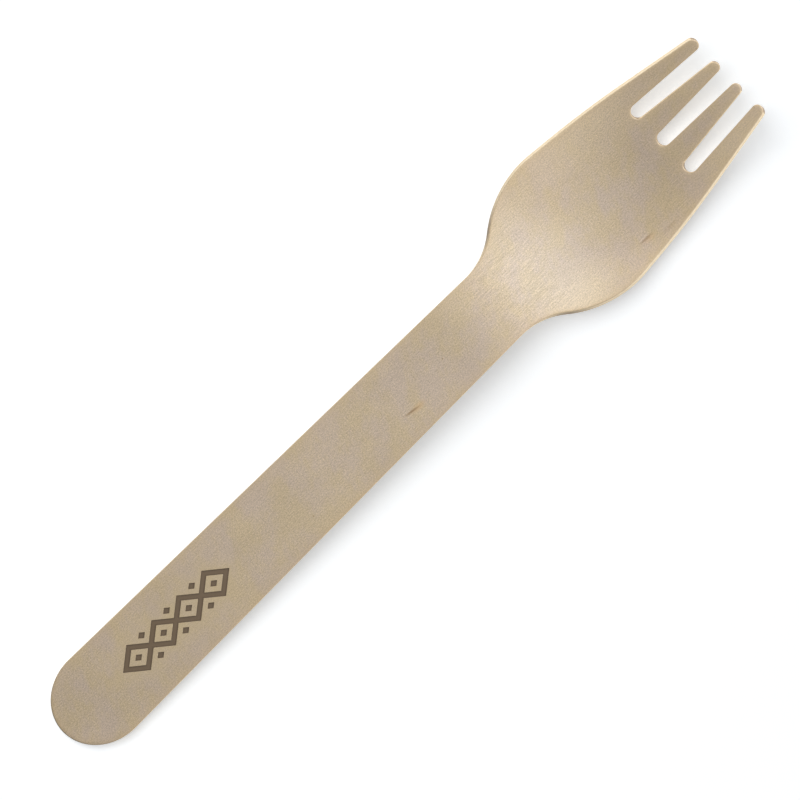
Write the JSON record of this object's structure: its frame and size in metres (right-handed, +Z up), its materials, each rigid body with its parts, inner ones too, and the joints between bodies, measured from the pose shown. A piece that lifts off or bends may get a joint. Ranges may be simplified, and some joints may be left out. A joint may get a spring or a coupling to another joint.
{
  "type": "wooden fork",
  "caption": "Single-use fork pressed from a sheet of birch veneer: flat handle with a round end, cupped head and tapered tines.",
  "frame": {"origin": "on the table, under the middle of the fork's bounding box", "axes": "+X from the handle's end to the tines, +Y across the head, +Z up, away from the table"},
  "size_m": [0.1602, 0.0288, 0.0075],
  "materials": {
    "birch": "satin, hot-pressed, unvarnished"
  },
  "bodies": {
    "root": {"fork": "birch"}
  },
  "joints": []
}
